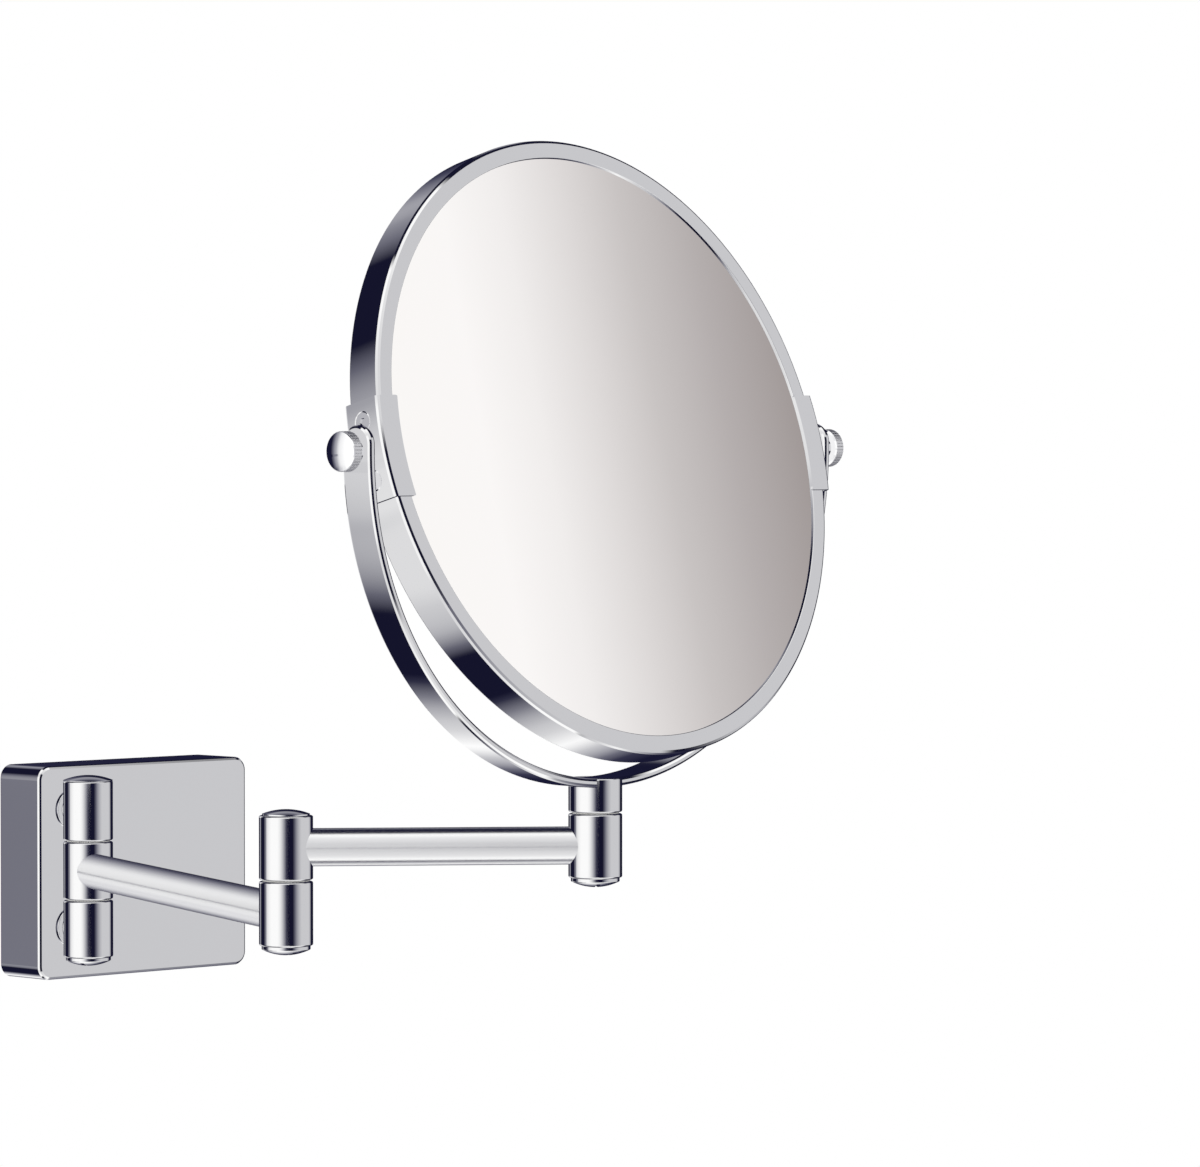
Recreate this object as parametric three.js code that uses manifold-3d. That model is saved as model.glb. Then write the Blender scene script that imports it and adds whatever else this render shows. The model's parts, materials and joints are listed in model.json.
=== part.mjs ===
// Extendable shaving mirror: a wall plate, two swinging tube arms, a U-shaped yoke and a round
// double-sided mirror that tilts in it. Millimetres. +X right along the wall, +Y into the wall,
// +Z up. The origin is the centre of the wall plate's back.
import * as THREE from 'three';
import { mergeVertices } from 'three/addons/utils/BufferGeometryUtils.js';
import Module from 'manifold-3d';

const wasm = await Module();
wasm.setup();

// Wall plate: a hollow cover over a flat backplate.
const COVER_WIDTH = 94;
const COVER_HEIGHT = 73.4;
const COVER_DEPTH = 21;
const COVER_CORNER = 4.75;
const COVER_EDGE = 1;
const COVER_SIDE = 1.5;
const COVER_FACE = 2;
const BACKPLATE_THICKNESS = 2.5;
const BACKPLATE_GAP = 0.5;
const SLOT_WIDTH = 5;
const SLOT_LENGTH = 11;
const SLOT_INSET = 14;
const LUG_WIDTH = 26;
const LUG_THICKNESS = 2.4;
const LUG_REACH = 14;
const GRUB_DIAMETER = 4;
const GRUB_SOCKET = 2;
const GRUB_SOCKET_DEPTH = 2;

// Wall bracket: two fixed knuckles on posts, with the first arm's knuckle between them.
const BRACKET_INSET = 13.8;
const BRACKET_GAP = 1;
const BRACKET_RAISE = 1.2;
const BRACKET_KNUCKLE = 20.3;
const BRACKET_FOOT_KNUCKLE = 19.3;
const POST_DIAMETER = 9.5;
const FLANGE_DIAMETER = 13.6;
const FLANGE_THICKNESS = 1.5;
const FIXING_DIAMETER = 4;
const FIXING_HEAD = 7;
const FIXING_HEAD_HEIGHT = 2.4;
const FIXING_REACH = 4.5;
const FIXING_SOCKET = 2.5;
const FIXING_SOCKET_DEPTH = 1.5;

// Knuckles, pivot screws and caps, alike at all three swivels.
const KNUCKLE_DIAMETER = 17;
const KNUCKLE_CHAMFER = 0.4;
const ROOT_KNUCKLE = 19.6;
const ARM_KNUCKLE = 20.1;
const SEAM = 0.6;
const WASHER_THICKNESS = 0.4;
const WASHER_DIAMETER = 15;
const PIVOT_DIAMETER = 8;
const PIVOT_HEAD = 15.4;
const PIVOT_HEAD_RIM = 1.3;
const PIVOT_HEAD_DOME = 1.8;
const DRIVER_SLOT_WIDTH = 1.2;
const DRIVER_SLOT_DEPTH = 1.2;
const CAP_DOME = 1.9;
const CAP_STUB = 4;
const CAP_STUB_DIAMETER = 6;
const CAP_NUT = 15.1;
const CAP_NUT_RIM = 0.5;
const CAP_NUT_DOME = 1.4;

// Arms: straight round tubes let into the knuckles.
const TUBE_DIAMETER = 12;
const TUBE_WALL = 1;
const SOCKET_FLOOR = 5.2;
const ARM_1_LENGTH = 197.2;
const ARM_2_LENGTH = 97.5;
const ARM_1_HEADING = -111.4;
const ARM_2_TURN = 72.5;

// Yoke: a flat strip bent to a U, let into the top of its swivel knuckle.
const YOKE_TURN = 41.5;
const YOKE_THICKNESS = 2.8;
const YOKE_WIDTH = 12;
const YOKE_EDGE = 0.7;
const YOKE_RISE = 8;
const YOKE_HOLE = 4.8;
const HOLDER_HEIGHT = 10.75;

// Mirror head.
const MIRROR_TILT = 15;
const MIRROR_DIAMETER = 199.2;
const MIRROR_DEPTH = 12.7;
const FACE_WIDTH = 5.9;
const LIP_THICKNESS = 1.2;
const BAND_THICKNESS = 1.2;
const RIM_EDGE = 0.5;
const GLASS_THICKNESS = 1.8;
const GLASS_GAP = 0.4;
const MAGNIFIER_SAG = 6;
const SPACER_INSET = 3.2;
const SPACER_WIDTH = 6.2;

// Clips that hold the mirror head at its pivots.
const CLIP_LENGTH = 31.6;
const CLIP_THICKNESS = 1.5;
const CLIP_LIP = 0.9;
const CLIP_OVERHANG = 1;
const CLIP_SCREW_SPACING = 18;
const CLIP_SCREW_HEAD = 6.5;
const CLIP_SCREW_HEAD_HEIGHT = 1.3;
const CLIP_SCREW_SHANK = 3;
const CLIP_SCREW_LENGTH = 5.4;
const CLIP_SCREW_SOCKET = 2.4;
const CLIP_SCREW_SOCKET_DEPTH = 0.9;

// Pivots and thumb knobs.
const BOSS_DIAMETER = 7;
const BOSS_HEIGHT = 1.1;
const BOSS_STEM = 6;
const BOSS_STEM_LENGTH = 5;
const PIVOT_WASHER_DIAMETER = 8;
const PIVOT_WASHER_THICKNESS = 0.7;
const STUD_DIAMETER = 4;
const STUD_REACH = 5;
const KNOB_DIAMETER = 12.3;
const KNOB_HEIGHT = 3.7;
const KNOB_DOME = 0.8;
const KNOB_COLLAR_DIAMETER = 7.4;
const KNOB_COLLAR_HEIGHT = 2.8;
const KNOB_TEETH = 30;
const KNOB_TOOTH_DEPTH = 0.25;

// Clearances.
const SEAT = 0.05;
const FIT = 0.15;
const RUNNING = 0.3;

// Facets round a full turn.
const ROUND = 24;
const SMALL_ROUND = 12;
const LARGE_ROUND = 60;

const COLOURS = {
  chrome: { color: 0xc7c7cb, roughness: 0.06, metalness: 1 },
  steel: { color: 0x9c9ca0, roughness: 0.35, metalness: 1 },
  mirror: { color: 0xe9e7e5, roughness: 0.02, metalness: 1 },
  nylon: { color: 0xe4e3de, roughness: 0.5, metalness: 0 },
  plastic: { color: 0x2a2a2e, roughness: 0.6, metalness: 0 },
};

const radians = THREE.MathUtils.degToRad;

// ---- From geometry to solid and back

function signedVolume(position, index) {
  const a = new THREE.Vector3();
  const b = new THREE.Vector3();
  const c = new THREE.Vector3();
  let total = 0;
  for (let i = 0; i < index.length; i += 3) {
    a.fromBufferAttribute(position, index[i]);
    b.fromBufferAttribute(position, index[i + 1]);
    c.fromBufferAttribute(position, index[i + 2]);
    total += a.dot(b.cross(c)) / 6;
  }
  return total;
}

function solid(geometry) {
  const bare = geometry.clone();
  bare.deleteAttribute('normal');
  bare.deleteAttribute('uv');
  const merged = mergeVertices(bare, 1e-4);
  const position = merged.getAttribute('position');
  const index = [];
  for (let i = 0; i < merged.index.count; i += 3) {
    const corners = [merged.index.getX(i), merged.index.getX(i + 1), merged.index.getX(i + 2)];
    if (new Set(corners).size === 3) index.push(...corners);
  }
  if (signedVolume(position, index) < 0) index.reverse();
  const vertProperties = new Float32Array(position.array);
  const triVerts = new Uint32Array(index);
  return new wasm.Manifold(new wasm.Mesh({ numProp: 3, vertProperties, triVerts }));
}

function join(...geometries) {
  return fromSolid(geometries.map(solid).reduce((all, next) => all.add(next)));
}

function cut(geometry, ...tools) {
  return fromSolid(tools.map(solid).reduce((rest, tool) => rest.subtract(tool), solid(geometry)));
}

function common(geometry, other) {
  return fromSolid(solid(geometry).intersect(solid(other)));
}

function fromSolid(body) {
  const mesh = body.getMesh();
  const geometry = new THREE.BufferGeometry();
  geometry.setAttribute('position', new THREE.BufferAttribute(mesh.vertProperties, 3));
  geometry.setIndex(new THREE.BufferAttribute(mesh.triVerts, 1));
  return geometry;
}

// ---- Basic shapes, each with its axis along Z

function turned(profile, facets = ROUND) {
  const points = profile.map(([radius, height]) => new THREE.Vector2(radius, height));
  return new THREE.LatheGeometry(points, facets).rotateX(Math.PI / 2);
}

function rod(diameter, from, to, chamfer = 0, facets = ROUND) {
  const radius = diameter / 2;
  const profile = [[0, from], [radius - chamfer, from]];
  if (chamfer > 0) profile.push([radius, from + chamfer], [radius, to - chamfer]);
  profile.push([radius - chamfer, to], [0, to]);
  return turned(profile, facets);
}

function washer(outer, inner, from, to, facets = ROUND) {
  const [a, b] = [inner / 2, outer / 2];
  return turned([[a, from], [b, from], [b, to], [a, to], [a, from]], facets);
}

// A shallow dome on a straight rim, standing on z = base and pointing along `way` (1 or -1).
function dome(diameter, base, rim, height, way, facets = ROUND) {
  const radius = diameter / 2;
  const steps = 3;
  const profile = [[0, base], [radius, base], [radius, base + way * rim]];
  for (let i = 1; i <= steps; i += 1) {
    const angle = (i / steps) * Math.PI / 2;
    const out = i === steps ? 0 : radius * Math.cos(angle);
    profile.push([out, base + way * (rim + height * Math.sin(angle))]);
  }
  return turned(profile, facets);
}

function hexHole(acrossFlats, from, to) {
  const radius = acrossFlats / Math.sqrt(3);
  const geometry = new THREE.CylinderGeometry(radius, radius, to - from, 6);
  return geometry.rotateX(Math.PI / 2).translate(0, 0, (from + to) / 2);
}

function roundedRectangle(width, height, corner) {
  const [x, y] = [width / 2, height / 2];
  const shape = new THREE.Shape();
  shape.moveTo(x, y - corner);
  shape.absarc(x - corner, y - corner, corner, 0, Math.PI / 2);
  shape.absarc(-x + corner, y - corner, corner, Math.PI / 2, Math.PI);
  shape.absarc(-x + corner, -y + corner, corner, Math.PI, 1.5 * Math.PI);
  shape.absarc(x - corner, -y + corner, corner, 1.5 * Math.PI, 2 * Math.PI);
  return shape;
}

// A plate standing on the wall: outline in X and Z, from y = back out to y = -front.
function wallSlab(shape, back, front, curveSegments = 5) {
  const geometry = new THREE.ExtrudeGeometry(shape, {
    depth: front - back, bevelEnabled: false, curveSegments,
  });
  return geometry.rotateX(Math.PI / 2).translate(0, -back, 0);
}

const alongWall = (geometry) => geometry.rotateX(Math.PI / 2);
const box = (x, y, z, at) => new THREE.BoxGeometry(x, y, z).translate(...at);

function addPiece(group, name, geometry, finish) {
  const mesh = new THREE.Mesh(geometry, new THREE.MeshStandardMaterial(COLOURS[finish]));
  mesh.name = name;
  group.add(mesh);
  return mesh;
}

function addGroup(parent, x, y, z) {
  const group = new THREE.Group();
  group.position.set(x, y, z);
  parent.add(group);
  return group;
}

// ---- Places that several pieces share

const bracketX = -COVER_WIDTH / 2 + BRACKET_INSET;
const bracketY = -COVER_DEPTH - BRACKET_GAP - KNUCKLE_DIAMETER / 2;
const rootHalf = ROOT_KNUCKLE / 2;
const armHalf = ARM_KNUCKLE / 2;
const upperFoot = rootHalf + SEAM;
const bracketTop = upperFoot + BRACKET_KNUCKLE;
const lowerHead = -rootHalf - SEAM;
const bracketBottom = lowerHead - BRACKET_FOOT_KNUCKLE;
const pivotBore = PIVOT_DIAMETER + 2 * FIT;

// Distances from the mirror's centre outwards along the tilt axis: rim, clip, boss, washer, yoke.
const mirrorRadius = MIRROR_DIAMETER / 2;
const clipInner = mirrorRadius + FIT;
const clipOuter = clipInner + CLIP_THICKNESS;
const bossFoot = clipOuter + SEAT;
const bossTop = bossFoot + BOSS_HEIGHT;
const washerFoot = bossTop + SEAT;
const yokeInner = washerFoot + PIVOT_WASHER_THICKNESS + FIT;
const yokeOuter = yokeInner + YOKE_THICKNESS;

function seamWasher(group, name, seamBottom) {
  const from = seamBottom + (SEAM - WASHER_THICKNESS) / 2;
  const bore = PIVOT_DIAMETER + 2 * RUNNING;
  addPiece(group, name, washer(WASHER_DIAMETER, bore, from, from + WASHER_THICKNESS), 'nylon');
}

// A pivot screw: slotted domed head under z = seat, shank up to z = top.
function pivotScrew(seat, top) {
  const head = dome(PIVOT_HEAD, seat - SEAT, PIVOT_HEAD_RIM, PIVOT_HEAD_DOME, -1);
  const shank = rod(PIVOT_DIAMETER, seat - PIVOT_HEAD_RIM, top);
  const lowest = seat - SEAT - PIVOT_HEAD_RIM - PIVOT_HEAD_DOME;
  const slot = box(PIVOT_HEAD + 2, DRIVER_SLOT_WIDTH, 2 * DRIVER_SLOT_DEPTH, [0, 0, lowest]);
  return cut(join(head, shank), slot);
}

// ---- Wall plate

function makeWallPlate(group) {
  const bottom = -COVER_HEIGHT / 2;
  const lugY = -(BACKPLATE_THICKNESS + LUG_REACH) / 2;
  const outline = roundedRectangle(
    COVER_WIDTH - 2 * COVER_EDGE, COVER_HEIGHT - 2 * COVER_EDGE, COVER_CORNER - COVER_EDGE,
  );
  const block = new THREE.ExtrudeGeometry(outline, {
    depth: COVER_DEPTH, bevelThickness: COVER_EDGE, bevelSize: COVER_EDGE,
    bevelSegments: 3, curveSegments: 5,
  });
  alongWall(block).translate(0, COVER_EDGE, 0);
  const behindWall = box(
    2 * COVER_WIDTH, 4 * COVER_EDGE, 2 * COVER_HEIGHT, [0, 2 * COVER_EDGE, 0],
  );
  const innerWidth = COVER_WIDTH - 2 * COVER_SIDE;
  const innerHeight = COVER_HEIGHT - 2 * COVER_SIDE;
  const innerCorner = COVER_CORNER - COVER_SIDE;
  const hollow = wallSlab(
    roundedRectangle(innerWidth, innerHeight, innerCorner), -1, COVER_DEPTH - COVER_FACE,
  );
  const holes = bracketPostHeights().map((z) => alongWall(
    rod(FIXING_DIAMETER + 2 * RUNNING, COVER_DEPTH - COVER_FACE - 1, COVER_DEPTH + 1, 0, SMALL_ROUND),
  ).translate(bracketX, 0, z));
  const grubHole = rod(GRUB_DIAMETER + 2 * RUNNING, bottom - 1, bottom + COVER_SIDE + 1, 0, SMALL_ROUND)
    .translate(0, lugY, 0);
  addPiece(group, 'wall_cover', cut(block, behindWall, hollow, ...holes, grubHole), 'chrome');

  const plateWidth = innerWidth - 2 * BACKPLATE_GAP;
  const plateHeight = innerHeight - 2 * BACKPLATE_GAP;
  const plateCorner = innerCorner - BACKPLATE_GAP;
  const plate = wallSlab(
    roundedRectangle(plateWidth, plateHeight, plateCorner), 0, BACKPLATE_THICKNESS,
  );
  const lugZ = (plateHeight - LUG_THICKNESS) / 2;
  const lugs = [-1, 1].map((side) => box(
    LUG_WIDTH, LUG_REACH, LUG_THICKNESS, [0, -LUG_REACH / 2, side * lugZ],
  ));
  const slots = [-1, 1].map((side) => wallSlab(
    roundedRectangle(SLOT_LENGTH, SLOT_WIDTH, SLOT_WIDTH / 2 - 0.01), -1, BACKPLATE_THICKNESS + 1,
  ).translate(side * (plateWidth / 2 - SLOT_INSET), 0, 0));
  const thread = rod(GRUB_DIAMETER + 2 * FIT, bottom, bottom + 2 * LUG_THICKNESS + COVER_SIDE, 0, SMALL_ROUND)
    .translate(0, lugY, 0);
  addPiece(group, 'backplate', cut(join(plate, ...lugs), ...slots, thread), 'steel');

  const grubTop = bottom + COVER_SIDE + BACKPLATE_GAP + LUG_THICKNESS + 1;
  const grub = cut(
    rod(GRUB_DIAMETER, bottom + 0.4, grubTop, 0.3, SMALL_ROUND),
    hexHole(GRUB_SOCKET, bottom - 1, bottom + 0.4 + GRUB_SOCKET_DEPTH),
  ).translate(0, lugY, 0);
  addPiece(group, 'cover_grub_screw', grub, 'steel');
}

// ---- Wall bracket

function bracketPostHeights() {
  const upper = (upperFoot + bracketTop) / 2;
  const lower = (lowerHead + bracketBottom) / 2;
  return [BRACKET_RAISE + upper, BRACKET_RAISE + lower];
}

function bracketKnuckle(from, to, z) {
  const barrel = rod(KNUCKLE_DIAMETER, from, to, KNUCKLE_CHAMFER)
    .translate(bracketX, bracketY, BRACKET_RAISE);
  const face = COVER_DEPTH + SEAT;
  const post = alongWall(rod(POST_DIAMETER, face, -bracketY)).translate(bracketX, 0, z);
  const flange = alongWall(rod(FLANGE_DIAMETER, face, face + FLANGE_THICKNESS)).translate(bracketX, 0, z);
  const bore = rod(pivotBore, from - 1, to + 1).translate(bracketX, bracketY, BRACKET_RAISE);
  const thread = alongWall(
    rod(FIXING_DIAMETER + 2 * FIT, COVER_DEPTH - 1, COVER_DEPTH + FIXING_REACH + RUNNING, 0, SMALL_ROUND),
  ).translate(bracketX, 0, z);
  return cut(join(barrel, post, flange), bore, thread);
}

function makeBracket(group) {
  const [upperZ, lowerZ] = bracketPostHeights();
  const spans = [['upper', upperFoot, bracketTop, upperZ], ['lower', bracketBottom, lowerHead, lowerZ]];
  for (const [place, from, to, z] of spans) {
    addPiece(group, `bracket_knuckle_${place}`, bracketKnuckle(from, to, z), 'chrome');
    const inside = COVER_DEPTH - COVER_FACE - SEAT;
    const head = rod(FIXING_HEAD, inside - FIXING_HEAD_HEIGHT, inside, 0.3, SMALL_ROUND);
    const shank = rod(FIXING_DIAMETER, inside - 1, COVER_DEPTH + FIXING_REACH, 0, SMALL_ROUND);
    const socketEnd = inside - FIXING_HEAD_HEIGHT + FIXING_SOCKET_DEPTH;
    const screw = cut(join(head, shank), hexHole(FIXING_SOCKET, 0, socketEnd));
    addPiece(group, `bracket_screw_${place}`, alongWall(screw).translate(bracketX, 0, z), 'steel');
  }
  const axis = addGroup(group, bracketX, bracketY, BRACKET_RAISE);
  addPiece(axis, 'bracket_pivot_screw', pivotScrew(bracketBottom, bracketTop - CAP_STUB - RUNNING), 'chrome');
  const stub = rod(CAP_STUB_DIAMETER, bracketTop - CAP_STUB, bracketTop + SEAT + 1, 0, SMALL_ROUND);
  const lid = dome(KNUCKLE_DIAMETER, bracketTop + SEAT, 0.2, CAP_DOME - 0.2, 1);
  addPiece(axis, 'bracket_top_cap', join(lid, stub), 'chrome');
  seamWasher(axis, 'bracket_washer_upper', rootHalf);
  seamWasher(axis, 'bracket_washer_lower', lowerHead);
}

// ---- Arms

// A swivel knuckle on an arm, with a round socket for the tube on its `way` side.
function armKnuckle(half, way) {
  const barrel = rod(KNUCKLE_DIAMETER, -half, half, KNUCKLE_CHAMFER);
  const bore = rod(PIVOT_DIAMETER + 2 * RUNNING, -half - 1, half + 1);
  const socket = rod(TUBE_DIAMETER + 2 * SEAT, SOCKET_FLOOR, KNUCKLE_DIAMETER);
  return cut(barrel, bore, socket.rotateY(way * Math.PI / 2));
}

function armTube(length) {
  const end = SOCKET_FLOOR + SEAT;
  const tube = washer(TUBE_DIAMETER, TUBE_DIAMETER - 2 * TUBE_WALL, end, length - end);
  return tube.rotateY(Math.PI / 2);
}

function makeArm1(group) {
  addPiece(group, 'arm_1_root_knuckle', armKnuckle(rootHalf, 1), 'chrome');
  addPiece(group, 'arm_1_tube', armTube(ARM_1_LENGTH), 'chrome');
  const elbow = addGroup(group, ARM_1_LENGTH, 0, 0);
  addPiece(elbow, 'elbow_knuckle_lower', armKnuckle(armHalf, -1), 'chrome');
  const elbowTop = armHalf + SEAM + ARM_KNUCKLE;
  addPiece(elbow, 'elbow_pivot_screw', pivotScrew(-armHalf, elbowTop - CAP_STUB - RUNNING), 'chrome');
  const stub = rod(CAP_STUB_DIAMETER, elbowTop - CAP_STUB, elbowTop + SEAT + CAP_NUT_RIM, 0, SMALL_ROUND);
  const lid = dome(CAP_NUT, elbowTop + SEAT, CAP_NUT_RIM, CAP_NUT_DOME, 1);
  addPiece(elbow, 'elbow_top_cap', join(lid, stub), 'chrome');
  seamWasher(elbow, 'elbow_washer', armHalf);
}

function makeArm2(group) {
  addPiece(group, 'elbow_knuckle_upper', armKnuckle(armHalf, 1), 'chrome');
  addPiece(group, 'arm_2_tube', armTube(ARM_2_LENGTH), 'chrome');
  const end = addGroup(group, ARM_2_LENGTH, 0, 0);
  addPiece(end, 'end_knuckle', armKnuckle(armHalf, -1), 'chrome');
  seamWasher(end, 'end_washer', armHalf);
}

// ---- Yoke

const holderFoot = armHalf + SEAM;
const holderTop = holderFoot + HOLDER_HEIGHT;
const pivotHeight = holderTop + yokeInner;

// The U in X and Z around the tilt axis, `grow` larger on every side, and `width` deep in Y.
function yokeStrip(width, edge, grow) {
  const inner = yokeInner - grow + edge;
  const outer = yokeOuter + grow - edge;
  const rise = YOKE_RISE - edge;
  const shape = new THREE.Shape();
  shape.moveTo(-outer, rise);
  shape.lineTo(-outer, 0);
  shape.absarc(0, 0, outer, Math.PI, 2 * Math.PI);
  shape.lineTo(outer, rise);
  shape.lineTo(inner, rise);
  shape.lineTo(inner, 0);
  shape.absarc(0, 0, inner, 2 * Math.PI, Math.PI, true);
  shape.lineTo(-inner, rise);
  const depth = width - 2 * edge;
  const geometry = new THREE.ExtrudeGeometry(shape, {
    depth, bevelEnabled: edge > 0, bevelThickness: edge, bevelSize: edge,
    bevelSegments: 1, curveSegments: 24,
  });
  return geometry.rotateX(Math.PI / 2).translate(0, depth / 2, 0);
}

function makeYoke(group) {
  const strip = yokeStrip(YOKE_WIDTH, YOKE_EDGE, 0);
  const below = box(3 * yokeOuter, YOKE_WIDTH, 2 * yokeOuter, [0, 0, YOKE_RISE - YOKE_WIDTH / 2 - yokeOuter]);
  const ends = alongWall(rod(YOKE_WIDTH, -1.5 * yokeOuter, 1.5 * yokeOuter))
    .rotateZ(Math.PI / 2).translate(0, 0, YOKE_RISE - YOKE_WIDTH / 2);
  const hole = rod(YOKE_HOLE, -1.5 * yokeOuter, 1.5 * yokeOuter, 0, SMALL_ROUND).rotateY(Math.PI / 2);
  const yoke = cut(common(strip, join(below, ends)), hole).translate(0, 0, pivotHeight);
  addPiece(group, 'yoke', yoke, 'chrome');

  const barrel = rod(KNUCKLE_DIAMETER, holderFoot, holderTop, KNUCKLE_CHAMFER);
  const seat = yokeStrip(YOKE_WIDTH + 2 * FIT, 0, FIT).translate(0, 0, pivotHeight);
  const bore = rod(pivotBore, holderFoot - 1, holderFoot + HOLDER_HEIGHT - YOKE_THICKNESS - 2);
  addPiece(group, 'yoke_holder', cut(barrel, seat, bore), 'chrome');
  const screwTop = holderTop - YOKE_THICKNESS - 2 - RUNNING;
  addPiece(group, 'end_pivot_screw', pivotScrew(-armHalf, screwTop), 'chrome');
}

// ---- Mirror head, about its own centre: X along the tilt axis, Z out of the plain glass

const halfDepth = MIRROR_DEPTH / 2;
const openingRadius = mirrorRadius - FACE_WIDTH;
const bandInner = mirrorRadius - BAND_THICKNESS;
const glassRadius = bandInner - GLASS_GAP;
const glassFront = halfDepth - LIP_THICKNESS - SEAT;

const magnifierDip = (radius) => MAGNIFIER_SAG * (1 - (radius / glassRadius) ** 2);

// Points where something passes radially through clip and rim: [piece, side, angle off the axis].
function clipScrewPlaces() {
  const step = CLIP_SCREW_SPACING / MIRROR_DIAMETER;
  return [['left', 'upper', Math.PI - step], ['left', 'lower', Math.PI + step],
    ['right', 'upper', step], ['right', 'lower', -step]];
}

// Turns a shape built along +Z so that it points outwards from the centre at `angle`.
const radially = (geometry, angle) => geometry.rotateY(Math.PI / 2).rotateZ(angle);

function radialHoles(diameter, angles) {
  return angles.map((angle) => radially(
    rod(diameter, bandInner - 2, clipOuter + 1, 0, SMALL_ROUND), angle,
  ));
}

function makeMirror(group) {
  const screwAngles = clipScrewPlaces().map(([, , angle]) => angle);
  const stemHoles = radialHoles(BOSS_STEM + 2 * FIT, [0, Math.PI]);
  const screwHoles = radialHoles(CLIP_SCREW_SHANK + 2 * FIT, screwAngles);
  const rim = turned([
    [openingRadius, halfDepth - LIP_THICKNESS], [openingRadius, halfDepth],
    [mirrorRadius - RIM_EDGE, halfDepth], [mirrorRadius, halfDepth - RIM_EDGE],
    [mirrorRadius, RIM_EDGE - halfDepth], [mirrorRadius - RIM_EDGE, -halfDepth],
    [bandInner, -halfDepth], [bandInner, halfDepth - LIP_THICKNESS],
    [openingRadius, halfDepth - LIP_THICKNESS],
  ], LARGE_ROUND);
  addPiece(group, 'mirror_rim', cut(rim, ...stemHoles, ...screwHoles), 'chrome');
  const bezel = washer(
    2 * (bandInner - FIT), 2 * openingRadius, -halfDepth, LIP_THICKNESS - halfDepth, LARGE_ROUND,
  );
  addPiece(group, 'mirror_back_bezel', bezel, 'chrome');

  const plain = rod(2 * glassRadius, glassFront - GLASS_THICKNESS, glassFront, 0, LARGE_ROUND);
  addPiece(group, 'plain_glass', plain, 'mirror');
  const steps = 3;
  const outside = [];
  const inside = [];
  for (let i = 0; i <= steps; i += 1) {
    const radius = glassRadius * i / steps;
    outside.push([radius, -glassFront + magnifierDip(radius)]);
    inside.unshift([radius, -glassFront + magnifierDip(radius) + GLASS_THICKNESS]);
  }
  addPiece(group, 'magnifying_glass', turned([...outside, ...inside], LARGE_ROUND / 2), 'mirror');

  const outer = bandInner - SPACER_INSET;
  const inner = outer - SPACER_WIDTH;
  const front = glassFront - GLASS_THICKNESS - FIT;
  const back = (radius) => -glassFront + GLASS_THICKNESS + magnifierDip(radius) + FIT;
  const spacer = turned(
    [[inner, back(inner)], [outer, back(outer)], [outer, front], [inner, front], [inner, back(inner)]],
    LARGE_ROUND / 2,
  );
  addPiece(group, 'glass_spacer', spacer, 'plastic');
}

// ---- Clips, their screws and the pivot bosses

function clipScrew(angle) {
  const top = clipOuter - SEAT;
  const radius = CLIP_SCREW_HEAD / 2;
  const shank = CLIP_SCREW_SHANK / 2;
  const body = turned([
    [0, top - CLIP_SCREW_LENGTH], [shank, top - CLIP_SCREW_LENGTH],
    [shank, top - CLIP_SCREW_HEAD_HEIGHT], [radius, top], [0, top],
  ], SMALL_ROUND);
  return radially(cut(body, hexHole(CLIP_SCREW_SOCKET, top - CLIP_SCREW_SOCKET_DEPTH, top + 1)), angle);
}

function countersink(angle) {
  const radius = CLIP_SCREW_HEAD / 2 + FIT;
  const shank = CLIP_SCREW_SHANK / 2 + FIT;
  const top = clipOuter - SEAT;
  return radially(turned([
    [0, bandInner], [shank, bandInner], [shank, top - CLIP_SCREW_HEAD_HEIGHT],
    [radius, top], [radius, clipOuter + 1], [0, clipOuter + 1],
  ], SMALL_ROUND), angle);
}

function clip(facing, angles) {
  const inner = openingRadius - CLIP_OVERHANG;
  const reach = Math.asin(CLIP_LENGTH / 2 / inner) + 0.01;
  const height = MIRROR_DEPTH + 2 * (FIT + CLIP_LIP);
  const shape = new THREE.Shape();
  shape.moveTo(inner * Math.cos(reach), -inner * Math.sin(reach));
  shape.absarc(0, 0, clipOuter, -reach, reach);
  shape.absarc(0, 0, inner, reach, -reach, true);
  const block = new THREE.ExtrudeGeometry(shape, { depth: height, bevelEnabled: false, curveSegments: 6 });
  block.translate(0, 0, -height / 2);
  const straightEnds = box(2 * clipOuter, CLIP_LENGTH, 2 * height, [clipOuter, 0, 0]);
  const band = common(block, straightEnds).rotateZ(facing);
  const room = halfDepth + FIT;
  const head = rod(2 * clipInner, -room, room, 0, LARGE_ROUND);
  const stem = radialHoles(BOSS_STEM + 2 * FIT, [facing]);
  return cut(band, head, ...stem, ...angles.map(countersink));
}

function boss(facing) {
  const collar = rod(BOSS_DIAMETER, bossFoot, bossTop, 0, SMALL_ROUND);
  const stem = rod(BOSS_STEM, bossFoot - BOSS_STEM_LENGTH, bossFoot + SEAT, 0, SMALL_ROUND);
  const boreDiameter = STUD_DIAMETER + 2 * RUNNING;
  const bore = rod(boreDiameter, bossTop - STUD_REACH - RUNNING, bossTop + 1, 0, SMALL_ROUND);
  return radially(cut(join(collar, stem), bore), facing);
}

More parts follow.
